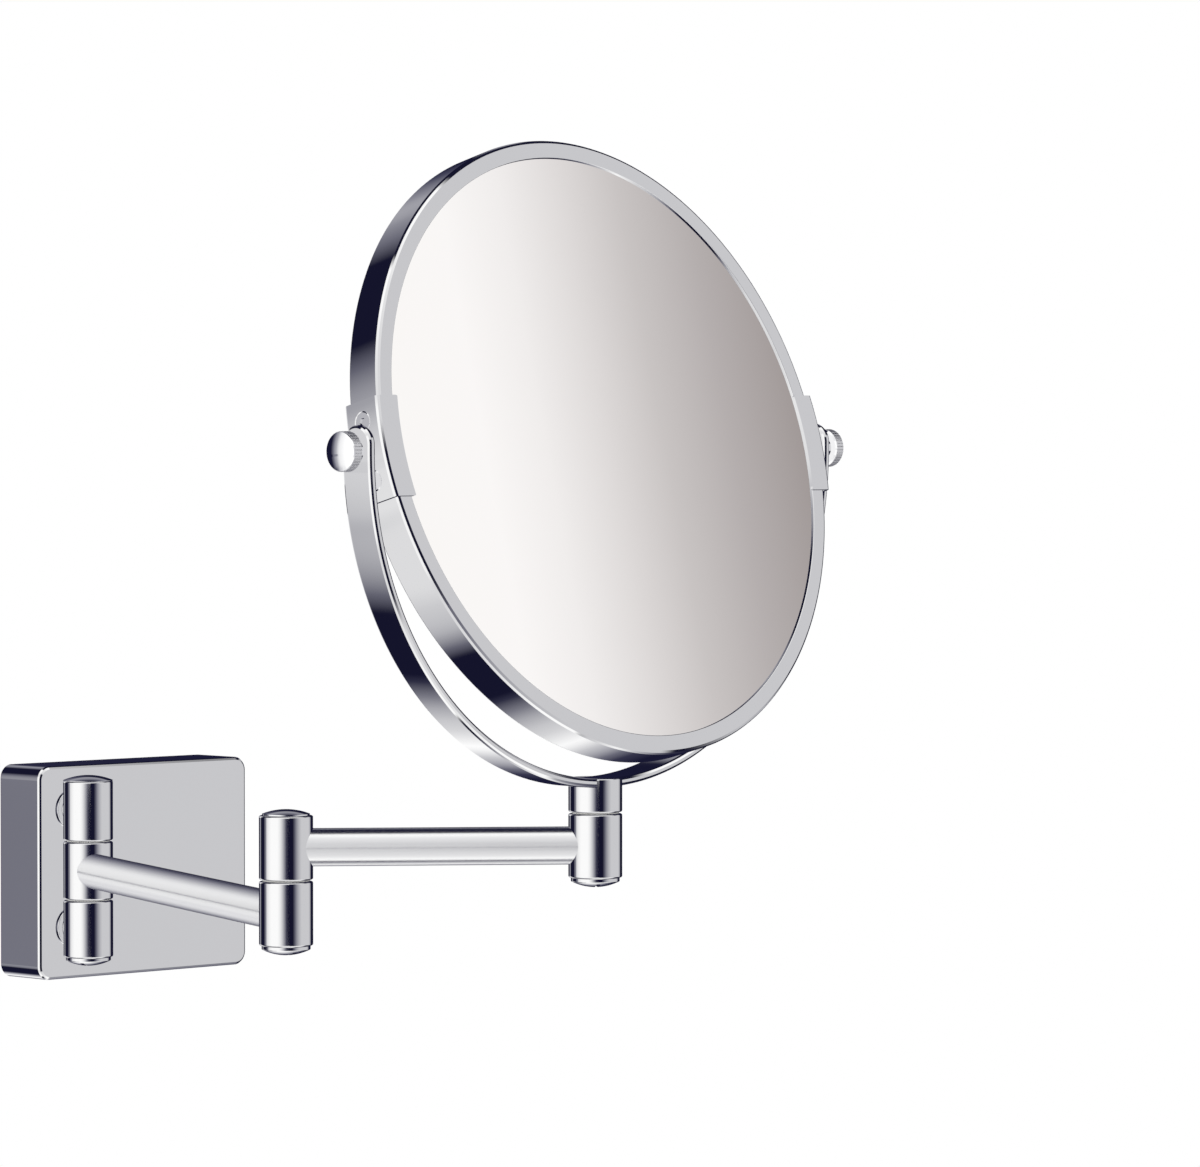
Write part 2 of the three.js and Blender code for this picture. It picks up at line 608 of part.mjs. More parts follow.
function makeClips(group) {
  for (const [side, facing] of [['left', Math.PI], ['right', 0]]) {
    const screws = clipScrewPlaces().filter(([which]) => which === side);
    addPiece(group, `clip_${side}`, clip(facing, screws.map(([, , angle]) => angle)), 'chrome');
    for (const [, level, angle] of screws) {
      addPiece(group, `clip_screw_${side}_${level}`, clipScrew(angle), 'steel');
    }
    addPiece(group, `pivot_boss_${side}`, boss(facing), 'chrome');
    const bore = STUD_DIAMETER + 2 * RUNNING;
    const top = washerFoot + PIVOT_WASHER_THICKNESS;
    const ring = washer(PIVOT_WASHER_DIAMETER, bore, washerFoot, top, SMALL_ROUND);
    addPiece(group, `pivot_washer_${side}`, radially(ring, facing), 'nylon');
  }
}

// ---- Thumb knobs

function knobHead(bottom) {
  const radius = KNOB_DIAMETER / 2;
  const outline = new THREE.Shape();
  for (let i = 0; i < 2 * KNOB_TEETH; i += 1) {
    const angle = i * Math.PI / KNOB_TEETH;
    const out = radius - (i % 2) * KNOB_TOOTH_DEPTH;
    outline[i ? 'lineTo' : 'moveTo'](out * Math.cos(angle), out * Math.sin(angle));
  }
  const grip = new THREE.ExtrudeGeometry(outline, { depth: KNOB_HEIGHT, bevelEnabled: false });
  grip.translate(0, 0, bottom);
  const root = 2 * (radius - KNOB_TOOTH_DEPTH - SEAT);
  return join(grip, dome(root, bottom + KNOB_HEIGHT - SEAT, SEAT, KNOB_DOME, 1, KNOB_TEETH));
}

function makeKnob(group, side) {
  const foot = yokeOuter + FIT;
  const headFoot = foot + KNOB_COLLAR_HEIGHT;
  const collar = rod(KNOB_COLLAR_DIAMETER, foot, headFoot + 1, 0, SMALL_ROUND);
  const holeEnd = headFoot + KNOB_HEIGHT / 2;
  const hole = rod(STUD_DIAMETER + 2 * FIT, foot - 1, holeEnd, 0, SMALL_ROUND);
  addPiece(group, `knob_${side}`, cut(join(knobHead(headFoot), collar), hole), 'chrome');
  const stud = rod(STUD_DIAMETER, bossTop - STUD_REACH, holeEnd - FIT, 0, SMALL_ROUND);
  addPiece(group, `knob_stud_${side}`, stud, 'steel');
}

// ---- Assembly

const group = new THREE.Group();
makeWallPlate(group);
makeBracket(group);

const arm1 = addGroup(group, bracketX, bracketY, BRACKET_RAISE);
arm1.rotation.z = radians(ARM_1_HEADING);
makeArm1(arm1);

const arm2 = addGroup(arm1, ARM_1_LENGTH, 0, ARM_KNUCKLE + SEAM);
arm2.rotation.z = radians(ARM_2_TURN);
makeArm2(arm2);

const yoke = addGroup(arm2, ARM_2_LENGTH, 0, 0);
yoke.rotation.z = radians(YOKE_TURN);
makeYoke(yoke);

const mirror = addGroup(yoke, 0, 0, pivotHeight);
mirror.rotation.x = radians(90 - MIRROR_TILT);
makeMirror(mirror);
makeClips(mirror);

for (const [side, way] of [['left', -1], ['right', 1]]) {
  const knob = addGroup(yoke, 0, 0, pivotHeight);
  knob.rotation.y = way * Math.PI / 2;
  makeKnob(knob, side);
}

export default group;
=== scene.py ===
import json
import math

import bmesh
import bpy
from mathutils import Matrix, Vector


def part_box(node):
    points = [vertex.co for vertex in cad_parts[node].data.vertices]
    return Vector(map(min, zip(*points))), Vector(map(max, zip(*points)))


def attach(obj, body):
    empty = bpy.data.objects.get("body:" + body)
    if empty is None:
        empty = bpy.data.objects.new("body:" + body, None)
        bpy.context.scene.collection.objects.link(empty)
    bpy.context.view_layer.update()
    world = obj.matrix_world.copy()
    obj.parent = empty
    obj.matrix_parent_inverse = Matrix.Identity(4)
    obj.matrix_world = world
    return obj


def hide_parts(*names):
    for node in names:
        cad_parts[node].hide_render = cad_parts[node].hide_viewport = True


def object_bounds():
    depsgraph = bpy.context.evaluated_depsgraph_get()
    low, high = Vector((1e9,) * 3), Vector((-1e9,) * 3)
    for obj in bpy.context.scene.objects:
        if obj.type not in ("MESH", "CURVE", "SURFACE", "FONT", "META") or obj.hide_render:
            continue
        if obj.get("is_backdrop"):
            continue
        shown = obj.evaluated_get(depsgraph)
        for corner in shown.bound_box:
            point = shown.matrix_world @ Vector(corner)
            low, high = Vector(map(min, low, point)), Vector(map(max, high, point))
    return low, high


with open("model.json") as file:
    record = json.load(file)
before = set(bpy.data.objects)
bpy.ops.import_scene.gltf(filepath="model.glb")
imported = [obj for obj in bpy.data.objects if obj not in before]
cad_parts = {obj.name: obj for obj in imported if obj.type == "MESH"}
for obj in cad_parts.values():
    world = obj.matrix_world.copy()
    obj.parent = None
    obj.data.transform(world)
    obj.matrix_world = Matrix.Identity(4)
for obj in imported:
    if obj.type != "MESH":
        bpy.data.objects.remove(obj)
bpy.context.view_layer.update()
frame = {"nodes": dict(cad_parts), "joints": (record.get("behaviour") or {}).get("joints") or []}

# ---- Wall cover
# A pressed box of chromed brass, open at the back, that hides the backplate and its wall screws.
# Its upright corners are round and its front edge is broken by polishing.

MM = 0.001
COVER_CORNER = 4.75
COVER_EDGE = 1.0
COVER_WALL = 1.5
COVER_FACE = 2.0
COVER_GRUB_HOLE = 4.6
COVER_FIXING_HOLE = 4.6
GRUB_DRILL = (-2, 3)
FIXING_DRILL = (17, 23)
CORNER_STEPS = 6
SMOOTH_BELOW = math.radians(24)
TWO_FACETS = 0.41
FACET_MEET = 0.36


class Wire:
    """The output of a shader node. Sums and products of wires add Math nodes."""

    def __init__(self, socket):
        self.socket = socket

    def math(self, operation, *values):
        node = self.socket.id_data.nodes.new("ShaderNodeMath")
        node.operation = operation
        connect(node, dict(enumerate(values)))
        return Wire(node.outputs[0])

    def __add__(self, other):
        return self.math("ADD", self, other)

    __radd__ = __add__

    def __mul__(self, other):
        return self.math("MULTIPLY", self, other)

    __rmul__ = __mul__

    def __sub__(self, other):
        return self.math("SUBTRACT", self, other)

    def __rsub__(self, other):
        return self.math("SUBTRACT", other, self)


def connect(node, values):
    for name, value in values.items():
        if isinstance(value, Wire):
            node.id_data.links.new(value.socket, node.inputs[name])
        else:
            node.inputs[name].default_value = value


def add_node(tree, kind, settings=None, values=None, stops=None, out=0):
    """Adds one node: its settings first, then its ramp stops, then its sockets."""
    node = tree.nodes.new(kind)
    for name, value in (settings or {}).items():
        setattr(node, name, value)
    if stops:
        ramp = node.color_ramp
        while len(ramp.elements) > 1:
            ramp.elements.remove(ramp.elements[-1])
        ramp.elements[0].position = stops[0][0]
        ramp.elements[0].color = (*stops[0][1], 1)
        for place, colour in stops[1:]:
            ramp.elements.new(place).color = (*colour, 1)
    connect(node, values or {})
    return Wire(node.outputs[out])


def new_finish(name):
    """A material with an empty surface shader; returns it with its tree, shader and position."""
    material = bpy.data.materials.new(name)
    material.use_nodes = True
    tree = material.node_tree
    shader = tree.nodes["Principled BSDF"]
    place = add_node(tree, "ShaderNodeTexCoord", out="Object")
    return material, tree, shader, place


def grain(tree, place, scale, detail=3.0, stretch=(1, 1, 1)):
    """Noise of about `scale` cycles a metre, from 0 to 1."""
    stretched = add_node(tree, "ShaderNodeMapping", values={"Vector": place, "Scale": stretch})
    return add_node(tree, "ShaderNodeTexNoise", values={
        "Vector": stretched, "Scale": scale, "Detail": detail})


def mixed(tree, factor, first, second):
    """A colour between two others: the first at factor 0 and the second at 1."""
    return add_node(tree, "ShaderNodeMix", {"data_type": "RGBA"}, {
        "Factor": factor, 6: first, 7: second}, out=2)


def bumps(tree, height, strength, distance):
    return add_node(tree, "ShaderNodeBump", values={
        "Height": height, "Strength": strength, "Distance": distance})


def polished_chrome(name, base=(0.60, 0.60, 0.60), roughness=0.035):
    """Bright plating: faint clouding, fine wiping marks and a trace of ripple from the buff."""
    material, tree, shader, place = new_finish(name)
    cloud = grain(tree, place, 24, detail=2)
    wiping = grain(tree, place, 900, detail=4, stretch=(1, 1, 0.15))
    ripple = grain(tree, place, 60, detail=1)
    colour = mixed(tree, cloud, (*[c * 0.985 for c in base], 1), (*base, 1))
    bump = bumps(tree, ripple + 0.02 * wiping, 0.06, 0.000004)
    connect(shader, {
        "Base Color": colour, "Metallic": 1.0, "Normal": bump,
        "Roughness": roughness + 0.012 * (wiping - 0.5) + 0.01 * (cloud - 0.5)})
    return material


def take(piece):
    """Leaves this piece the only one selected, in object mode."""
    if bpy.context.mode != "OBJECT":
        bpy.ops.object.mode_set(mode="OBJECT")
    bpy.ops.object.select_all(action="DESELECT")
    piece.select_set(True)
    bpy.context.view_layer.objects.active = piece


def choose(piece, kind, test):
    """Enters edit mode with only the faces or edges that pass the test selected."""
    take(piece)
    bpy.ops.object.mode_set(mode="EDIT")
    bpy.ops.mesh.select_mode(type=kind)
    bpy.ops.mesh.select_all(action="DESELECT")
    shape = bmesh.from_edit_mesh(piece.data)
    for part in shape.faces if kind == "FACE" else shape.edges:
        if test(part):
            part.select_set(True)
    bmesh.update_edit_mesh(piece.data)


def middle(edge):
    return (edge.verts[0].co + edge.verts[1].co) / 2


def place_in_mesh(piece, place):
    """Moves a piece to its place and leaves its object at the origin."""
    take(piece)
    piece.matrix_world = place
    bpy.ops.object.transform_apply(location=True, rotation=True, scale=True)


def cut_away(piece, *tools):
    for tool in tools:
        take(piece)
        cutting = piece.modifiers.new("cut", "BOOLEAN")
        cutting.operation = "DIFFERENCE"
        cutting.solver = "EXACT"
        cutting.object = tool
        bpy.ops.object.modifier_apply(modifier=cutting.name)
        bpy.data.objects.remove(tool)


def smooth(piece):
    """Shades the round parts smooth and keeps the flats flat."""
    take(piece)
    bpy.ops.object.shade_smooth_by_angle(angle=SMOOTH_BELOW)
    evened = piece.modifiers.new("even", "WEIGHTED_NORMAL")
    evened.keep_sharp = True
    bpy.ops.object.modifier_apply(modifier=evened.name)


def coat(piece, material):
    """Gives a piece its finish. Polished parts reflect the studio and not each other."""
    piece.data.materials.clear()
    piece.data.materials.append(material)
    piece.visible_glossy = False


def fit_out(piece, material, body, slot, *nodes):
    """Smooths a finished piece, gives it its material and its body, and hides the nodes it stands
    for. The slot is not used.
    """
    smooth(piece)
    coat(piece, material)
    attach(piece, body)
    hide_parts(*nodes)


def rounded(*corners):
    """Section points in order. A third number rounds that corner off with that radius, and a
    negative one eases it that far in two polished facets."""
    closed = corners[0][:2] == corners[-1][:2]
    corners = corners[:-1] if closed else corners
    points = []
    for i, corner in enumerate(corners):
        here = Vector(corner[:2])
        if len(corner) == 2:
            points.append(tuple(here))
            continue
        before = Vector(corners[i - 1][:2])
        after = Vector(corners[(i + 1) % len(corners)][:2])
        back, ahead = (before - here).normalized(), (after - here).normalized()
        if corner[2] < 0:
            reach = -corner[2]
            for away in (back, FACET_MEET * (back + ahead), ahead):
                points.append(tuple(here + away * reach))
            continue
        half = back.angle(ahead) / 2
        centre = here + (back + ahead).normalized() * (corner[2] / math.sin(half))
        first = here + back * (corner[2] / math.tan(half)) - centre
        last = here + ahead * (corner[2] / math.tan(half)) - centre
        start = math.atan2(first.y, first.x)
        sweep = (math.atan2(last.y, last.x) - start + math.pi) % (2 * math.pi) - math.pi
        for k in range(CORNER_STEPS + 1):
            angle = start + sweep * k / CORNER_STEPS
            points.append((centre.x + corner[2] * math.cos(angle),
                           centre.y + corner[2] * math.sin(angle)))
    return points + points[:1] if closed else points


def drawn(name, points):
    """Draws a section in the XZ plane, point by point, from one vertex; millimetres."""
    if bpy.context.mode != "OBJECT":
        bpy.ops.object.mode_set(mode="OBJECT")
    bpy.ops.object.select_all(action="DESELECT")
    bpy.ops.mesh.primitive_plane_add(size=MM, location=(0, 0, 0))
    piece = bpy.context.object
    piece.name = name
    bpy.ops.object.mode_set(mode="EDIT")
    bpy.ops.mesh.select_mode(type="VERT")
    bpy.ops.mesh.merge(type="CENTER")
    bpy.ops.transform.translate(value=(points[0][0] * MM, 0, points[0][1] * MM))
    for here, there in zip(points, points[1:]):
        step = ((there[0] - here[0]) * MM, 0, (there[1] - here[1]) * MM)
        bpy.ops.mesh.extrude_vertices_move(TRANSFORM_OT_translate={"value": step})
    return piece


def turned(name, points, steps=96, place=None):
    """Turns a section about Z, as on a lathe; points are radius and height."""
    piece = drawn(name, points)
    bpy.ops.mesh.select_all(action="SELECT")
    bpy.ops.mesh.spin(steps=steps, angle=2 * math.pi, center=(0, 0, 0), axis=(0, 0, 1))
    bpy.ops.mesh.select_all(action="SELECT")
    bpy.ops.mesh.remove_doubles(threshold=1e-6)
    bpy.ops.mesh.normals_make_consistent(inside=False)
    bpy.ops.object.mode_set(mode="OBJECT")
    if place is not None:
        place_in_mesh(piece, place)
    return piece


def plain_rod(radius, start, end, place, steps=48):
    return turned("tool", [(0, start), (radius, start), (radius, end), (0, end)], steps, place)


def joint(name):
    return next(j for j in frame["joints"] if j["name"] == name)


def at(*millimetres):
    return Matrix.Translation([value * MM for value in millimetres])


cover_low, cover_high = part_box("wall_cover")
bpy.ops.object.select_all(action="DESELECT")
bpy.ops.mesh.primitive_cube_add(size=1, location=(cover_low + cover_high) / 2)
cover = bpy.context.object
cover.name = "cover_shell"
cover.scale = cover_high - cover_low
bpy.ops.object.transform_apply(location=True, rotation=True, scale=True)
choose(cover, "EDGE", lambda e: abs(e.verts[0].co.y - e.verts[1].co.y) > 0.01)
bpy.ops.mesh.bevel(offset=COVER_CORNER * MM, segments=14, affect="EDGES")
choose(cover, "FACE", lambda f: f.normal.y > 0.9)
bpy.ops.mesh.delete(type="FACE")
choose(cover, "EDGE", lambda e: middle(e).y < cover_low.y + 1e-5)
bpy.ops.mesh.bevel(offset=COVER_EDGE * MM, segments=2, profile=TWO_FACETS, affect="EDGES")
take(cover)
wall = cover.modifiers.new("wall", "SOLIDIFY")
wall.thickness = COVER_WALL * MM
wall.offset = -1
wall.use_even_offset = True
bpy.ops.object.modifier_apply(modifier=wall.name)
inner_face = cover_low.y + COVER_WALL * MM
choose(cover, "FACE", lambda f: f.normal.y > 0.9
       and abs(f.calc_center_median().y - inner_face) < 1e-5)
bpy.ops.transform.translate(value=(0, (COVER_FACE - COVER_WALL) * MM, 0))
bpy.ops.object.mode_set(mode="OBJECT")

ALONG_WALL = Matrix.Rotation(math.pi / 2, 4, "X")
grub_low, grub_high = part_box("cover_grub_screw")
grub_x, grub_y = [(grub_low[k] + grub_high[k]) / 2 / MM for k in (0, 1)]
cutters = [plain_rod(COVER_GRUB_HOLE / 2, cover_low.z / MM + GRUB_DRILL[0],
                     cover_low.z / MM + GRUB_DRILL[1], at(grub_x, grub_y, 0))]
for node in ("bracket_screw_upper", "bracket_screw_lower"):
    low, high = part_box(node)
    x, z = [(low[k] + high[k]) / 2 / MM for k in (0, 2)]
    cutters.append(plain_rod(COVER_FIXING_HOLE / 2, *FIXING_DRILL, at(x, 0, z) @ ALONG_WALL))
cut_away(cover, *cutters)
chrome = polished_chrome("bright_chrome")
fit_out(cover, chrome, "wall", "chrome", "wall_cover")

# ---- Backplate and the screws behind the cover
# A pressed steel plate with two level slots for the wall screws and two lugs that the cover slips
# over. Zinc-plated socket screws hold the bracket, and a grub screw below locks the cover.


def satin_steel(name):
    """Zinc-plated or stainless steel as it comes off the press: brushed, with duller patches."""
    material, tree, shader, place = new_finish(name)
    brushed = grain(tree, place, 1400, detail=5, stretch=(0.08, 1, 1))
    patches = grain(tree, place, 45, detail=3)
    colour = mixed(tree, patches, (0.36, 0.36, 0.37, 1), (0.50, 0.50, 0.51, 1))
    bump = bumps(tree, brushed, 0.35, 0.00003)
    connect(shader, {
        "Base Color": colour, "Metallic": 1.0, "Normal": bump,
        "Roughness": 0.24 + 0.14 * brushed + 0.1 * patches})
    return material


steel = satin_steel("satin_steel")
for node in ("backplate", "bracket_screw_upper", "bracket_screw_lower"):
    coat(frame["nodes"][node], steel)

GRUB_RADIUS = 2.0
GRUB_SOCKET = 2.0
GRUB_SOCKET_DEPTH = 2.0
GRUB_EDGE = 0.25


def hex_socket(across_flats, start, end, place):
    """A six-sided tool for cutting a key socket."""
    return turned("tool", [(0, start), (across_flats / math.sqrt(3), start),
                           (across_flats / math.sqrt(3), end), (0, end)], 6, place)


grub_foot, grub_top = grub_low.z / MM, grub_high.z / MM
grub = turned("grub_screw", rounded(
    (0, grub_foot), (GRUB_RADIUS, grub_foot, GRUB_EDGE), (GRUB_RADIUS, grub_top, GRUB_EDGE),
    (0, grub_top)),
    48, at(grub_x, grub_y, 0))
cut_away(grub, hex_socket(GRUB_SOCKET, grub_foot - 1, grub_foot + GRUB_SOCKET_DEPTH,
                          at(grub_x, grub_y, 0)))
fit_out(grub, steel, "wall", "screw_steel", "cover_grub_screw")

# ---- Wall bracket
# Two chromed brass knuckles, each turned in one with a short post and a thin flange that seats on
# the cover. The arm's knuckle swings between them.

KNUCKLE_RADIUS = 8.5
KNUCKLE_EDGE = 0.5
BORE_EDGE = 0.2
PIVOT_BORE = 4.15
POST_RADIUS = 4.75
FLANGE_RADIUS = 6.8
FLANGE_THICKNESS = 1.5
POST_END = 6.0
bracket = at(*[value / MM for value in joint("arm_1_swing")["pos_m"]])


def barrel(name, start, end, bore, place):
    """A turned knuckle, bored through, with its edges just broken."""
    return turned(name, rounded(
        (bore, start, BORE_EDGE), (KNUCKLE_RADIUS, start, KNUCKLE_EDGE),
        (KNUCKLE_RADIUS, end, KNUCKLE_EDGE), (bore, end, BORE_EDGE), (bore, start, BORE_EDGE)),
        128, place)


for side in ("upper", "lower"):
    low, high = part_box(f"bracket_knuckle_{side}")
    axis_x, axis_y = bracket.translation.x / MM, bracket.translation.y / MM
    knuckle = barrel(f"bracket_{side}", low.z / MM, high.z / MM, PIVOT_BORE, at(axis_x, axis_y, 0))
    face = -high.y / MM
    post_z = (low.z + high.z) / 2 / MM
    post = turned("post", rounded(
        (0, face), (FLANGE_RADIUS, face, 0.15), (FLANGE_RADIUS, face + FLANGE_THICKNESS, 0.3),
        (POST_RADIUS, face + FLANGE_THICKNESS, 0.4), (POST_RADIUS, -axis_y - POST_END),
        (0, -axis_y - POST_END)), 96, at(axis_x, 0, post_z) @ ALONG_WALL)
    take(knuckle)
    post.select_set(True)
    bpy.ops.object.join()
    fit_out(knuckle, chrome, "wall", "chrome", f"bracket_knuckle_{side}")

# ---- Pivot screws and caps
# A slotted screw with a domed head comes up from below through each swivel, and a domed cap
# closes the top. They are turned brass, chromed like the knuckles.

HEAD_RADIUS = 7.7
HEAD_RIM = 1.3
HEAD_DOME = 1.8
HEAD_EDGE = 0.15
HEAD_STEP = 0.1
SHANK_RADIUS = 4.0
SLOT_WIDTH = 1.2
SLOT_DEPTH = 1.2
STUB_RADIUS = 3.0
STUB_LENGTH = 4.05


def domed(radius, base, height, way, steps=14):
    """Points of a shallow dome, from its rim to the axis."""
    ball = (radius ** 2 + height ** 2) / (2 * height)
    points = []
    for k in range(1, steps + 1):
        out = radius * (1 - k / steps)
        points.append((out, base + way * (math.sqrt(ball ** 2 - out ** 2) - ball + height)))
    return points


def upright_through(low, high):
    """The place of the upright line through the middle of a box."""
    return at(*[(low[k] + high[k]) / 2 / MM for k in (0, 1)], 0)


for node, body, twist in (("bracket_pivot_screw", "wall", 30), ("elbow_pivot_screw", "arm_1", 75),
                          ("end_pivot_screw", "yoke", 55)):
    low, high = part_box(node)
    centre = upright_through(low, high) @ Matrix.Rotation(math.radians(twist), 4, "Z")
    foot, top = low.z / MM, high.z / MM
    seat = foot + HEAD_DOME + HEAD_RIM
    rim = foot + HEAD_DOME
    screw = turned(node.replace("pivot_screw", "slotted_screw"), [
        (0, top), (SHANK_RADIUS, top), (SHANK_RADIUS, seat), (HEAD_RADIUS - HEAD_EDGE, seat),
        (HEAD_RADIUS, seat - HEAD_EDGE), (HEAD_RADIUS, rim + HEAD_EDGE),
        (HEAD_RADIUS - HEAD_STEP, rim), *domed(HEAD_RADIUS - HEAD_STEP, rim, HEAD_DOME, -1)],
        128, centre)
    bpy.ops.object.select_all(action="DESELECT")
    bpy.ops.mesh.primitive_cube_add(size=1)
    tool = bpy.context.object
    tool.scale = (4 * HEAD_RADIUS * MM, SLOT_WIDTH * MM, 2 * SLOT_DEPTH * MM)
    bpy.ops.object.transform_apply(scale=True)
    place_in_mesh(tool, centre @ at(0, 0, foot))
    cut_away(screw, tool)
    fit_out(screw, chrome, body, "chrome", node)

for node, body, cap_rim in (("bracket_top_cap", "wall", 0.2), ("elbow_top_cap", "arm_1", 0.5)):
    low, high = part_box(node)
    centre = upright_through(low, high)
    radius = (high.x - low.x) / 2 / MM
    foot, top = low.z / MM, high.z / MM
    seat = foot + STUB_LENGTH
    cap = turned(node.replace("top_cap", "domed_cap"), [
        (0, foot), (STUB_RADIUS, foot), (STUB_RADIUS, seat), (radius - HEAD_STEP, seat),
        (radius, seat + 0.08), (radius, seat + cap_rim),
        *domed(radius, seat + cap_rim, top - seat - cap_rim, 1)], 128, centre)
    fit_out(cap, chrome, body, "chrome", node)

# ---- Swivel washers
# Thin rings of pale nylon between the knuckles, a little smaller than them, so each seam shows
# as a fine dark line.


def pale_nylon(name):
    """Moulded nylon: slightly uneven in tone, with a fine matt skin."""
    material, tree, shader, place = new_finish(name)
    skin = grain(tree, place, 2600, detail=4)
    tone = grain(tree, place, 180, detail=2)
    colour = mixed(tree, tone, (0.62, 0.62, 0.58, 1), (0.74, 0.74, 0.70, 1))
    bump = bumps(tree, skin, 0.3, 0.00002)
    connect(shader, {"Base Color": colour, "Normal": bump, "Roughness": 0.42 + 0.16 * skin})
    return material


nylon = pale_nylon("pale_nylon")
SEAM_WASHER_RADIUS = 7.5
SEAM_WASHER_BORE = 4.3
SEAM_WASHER_EDGE = 0.12
NYLON_BORE_EDGE = 0.05
for node, body in (("bracket_washer_upper", "wall"), ("bracket_washer_lower", "wall"),
                   ("elbow_washer", "arm_1"), ("end_washer", "arm_2")):
    low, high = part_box(node)
    centre = upright_through(low, high)
    foot, top = low.z / MM, high.z / MM
    ring = turned(node.replace("washer", "nylon_ring"), rounded(
        (SEAM_WASHER_BORE, foot, NYLON_BORE_EDGE), (SEAM_WASHER_RADIUS, foot, SEAM_WASHER_EDGE),
        (SEAM_WASHER_RADIUS, top, SEAM_WASHER_EDGE), (SEAM_WASHER_BORE, top, NYLON_BORE_EDGE),
        (SEAM_WASHER_BORE, foot, NYLON_BORE_EDGE)), 96, centre)
    fit_out(ring, nylon, body, "nylon", node)

# ---- Arms
# Two straight chromed brass tubes. Each end is let into a turned knuckle and soldered, so the
# tube meets the knuckle in a clean saddle with no visible fillet.

ARM_BORE = 4.3
TUBE_RADIUS = 6.0
TUBE_WALL = 1.0
TUBE_START = 5.25


def arm_place(near, far):
    """The frame of an arm: its near swivel at the origin and X towards its far one."""
    start, end = Vector(joint(near)["pos_m"]), Vector(joint(far)["pos_m"])
    heading = math.atan2(end.y - start.y, end.x - start.x)
    length = (Vector(end.xy) - Vector(start.xy)).length / MM
    return Matrix.Translation(start) @ Matrix.Rotation(heading, 4, "Z"), length


tube_chrome = polished_chrome("tube_chrome", base=(0.65, 0.65, 0.65), roughness=0.24)
for body, near, far, tube_node, knuckles in (
    ("arm_1", "arm_1_swing", "arm_2_swing", "arm_1_tube",
     ("arm_1_root_knuckle", "elbow_knuckle_lower")),
    ("arm_2", "arm_2_swing", "yoke_swivel", "arm_2_tube",
     ("elbow_knuckle_upper", "end_knuckle")),
):
    place, length = arm_place(near, far)
    along = place @ Matrix.Rotation(math.pi / 2, 4, "Y")
    tube = turned(tube_node.replace("tube", "pipe"), [
        (TUBE_RADIUS - TUBE_WALL, TUBE_START), (TUBE_RADIUS, TUBE_START),
        (TUBE_RADIUS, length - TUBE_START), (TUBE_RADIUS - TUBE_WALL, length - TUBE_START),
        (TUBE_RADIUS - TUBE_WALL, TUBE_START)], 128, along)
    fit_out(tube, tube_chrome, body, "chrome", tube_node)
    for node in knuckles:
        low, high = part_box(node)
        centre = upright_through(low, high)
        knuckle = barrel(node.replace("knuckle", "barrel"), low.z / MM, high.z / MM, ARM_BORE, centre)
        fit_out(knuckle, chrome, body, "chrome", node)

# ---- Yoke
# A flat brass strip bent to a U, its long edges eased in two facets and its ends cut to half
# circles round the pivot holes. A turned block below carries it on the end knuckle.

YOKE_INNER = 103.3
YOKE_OUTER = 106.1
YOKE_HALF_WIDTH = 6.0
YOKE_RISE = 8.0
YOKE_EDGE = 0.95
YOKE_HOLE = 2.4
YOKE_DRILL_OVER = 3.0
BEND_STEPS = 144
HOLDER_CLEARANCE = 0.15
HOLDER_BORE_END = 4.95
HOLDER_GROOVE_OVER = 4.0
tilt = joint("mirror_tilt")
tilt_axis = Vector(tilt["axis"])
yoke_place = Matrix.Translation(Vector(tilt["pos_m"])) @ Matrix.Rotation(
    math.atan2(tilt_axis.y, tilt_axis.x), 4, "Z")


def strip_loop(name, inner, outer, half_width):
    """The outline of the strip's section, standing at the right-hand end of the U."""
    bpy.ops.object.select_all(action="DESELECT")
    bpy.ops.mesh.primitive_plane_add(size=1)
    piece = bpy.context.object
    piece.name = name
    piece.scale = ((outer - inner) * MM, 2 * half_width * MM, 1)
    piece.location = ((outer + inner) / 2 * MM, 0, 0)
    bpy.ops.object.transform_apply(location=True, rotation=True, scale=True)
    bpy.ops.object.mode_set(mode="EDIT")
    bpy.ops.mesh.select_all(action="SELECT")
    bpy.ops.mesh.delete(type="ONLY_FACE")
    bpy.ops.mesh.select_all(action="SELECT")
    return piece


def close_ends():
    bpy.ops.mesh.select_all(action="SELECT")
    bpy.ops.mesh.remove_doubles(threshold=1e-6)
    bpy.ops.mesh.select_all(action="SELECT")
    bpy.ops.mesh.fill_holes(sides=0)
    bpy.ops.mesh.select_all(action="SELECT")
    bpy.ops.mesh.normals_make_consistent(inside=False)
    bpy.ops.object.mode_set(mode="OBJECT")


yoke = strip_loop("yoke_strip", YOKE_INNER, YOKE_OUTER, YOKE_HALF_WIDTH)
bpy.ops.mesh.spin(steps=BEND_STEPS, angle=math.pi, center=(0, 0, 0), axis=(0, -1, 0))
close_ends()
choose(yoke, "FACE", lambda f: abs(f.normal.z) > 0.99 and abs(f.calc_center_median().z) < 1e-5)
bpy.ops.mesh.extrude_region_move(TRANSFORM_OT_translate={"value": (0, 0, YOKE_RISE * MM)})
choose(yoke, "EDGE", lambda e: abs(e.verts[0].co.x - e.verts[1].co.x) > 0.002
       and abs(middle(e).z - YOKE_RISE * MM) < 1e-5)
bpy.ops.mesh.bevel(offset=(YOKE_HALF_WIDTH - 0.02) * MM, segments=20, affect="EDGES")
choose(yoke, "EDGE", lambda e: len(e.link_faces) == 2 and e.calc_face_angle() > math.radians(60))
bpy.ops.mesh.bevel(offset=YOKE_EDGE * MM, segments=2, profile=TWO_FACETS, affect="EDGES")
bpy.ops.object.mode_set(mode="OBJECT")
